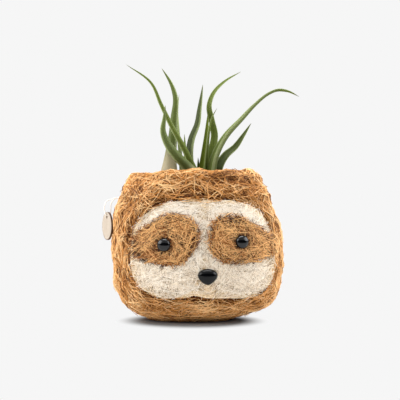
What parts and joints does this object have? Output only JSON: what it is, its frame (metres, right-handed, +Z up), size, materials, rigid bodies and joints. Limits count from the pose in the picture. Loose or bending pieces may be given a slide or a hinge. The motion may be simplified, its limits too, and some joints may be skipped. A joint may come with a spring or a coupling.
{
  "type": "animal face planter",
  "caption": "Round coir planter with a sloth face, domed eyes and nose, a wooden hang tag on a thread and a lift-out air plant with curling leaves.",
  "frame": {"origin": "on the flat base and the surface the pot stands on, below the middle of the belly", "axes": "+Z up, the face looks along -Y, +X to the right of someone facing the face"},
  "size_m": [0.148, 0.1284, 0.1944],
  "materials": {
    "coir": "latex-bonded coconut fibre, dry and coarse",
    "collar_coir": "combed coconut fibre, dry",
    "cream_fibre": "bleached plant fibre, matted",
    "patch_fibre": "dyed plant fibre, matted",
    "gloss_black": "polished black",
    "washer_plastic": "plain moulded",
    "tag_wood": "thin pale board with a scorched cut edge",
    "thread_cotton": "twisted cotton",
    "bulb": "dry grey-green sheaths",
    "leaf": "waxy green with fine silver scales"
  },
  "bodies": {
    "planter": {"coir_shell": "coir", "rim_collar": "collar_coir", "face_mask": "cream_fibre", "eye_patch_left": "patch_fibre", "eye_patch_right": "patch_fibre", "eye_left": "gloss_black", "eye_right": "gloss_black", "nose": "gloss_black", "eye_washer_left": "washer_plastic", "eye_washer_right": "washer_plastic", "nose_washer": "washer_plastic"},
    "tag": {"hang_tag": "tag_wood", "tag_thread": "thread_cotton"},
    "plant": {"plant_bulb": "bulb", "leaf_01": "leaf", "leaf_02": "leaf", "leaf_03": "leaf", "leaf_04": "leaf", "leaf_05": "leaf", "leaf_06": "leaf", "leaf_07": "leaf", "leaf_08": "leaf", "leaf_09": "leaf", "leaf_10": "leaf", "leaf_11": "leaf", "leaf_12": "leaf"}
  },
  "joints": [
    {"name": "plant_lift", "type": "slide", "parent": "planter", "child": "plant", "axis": [0, 0, 1], "range_m": [0, 0.11]},
    {"name": "tag_swing", "type": "hinge", "parent": "planter", "child": "tag", "pos_m": [-0.0624, 0.0058, 0.0925], "axis": [-0.2756, 0.9613, 0], "range_deg": [0, 65]}
  ]
}
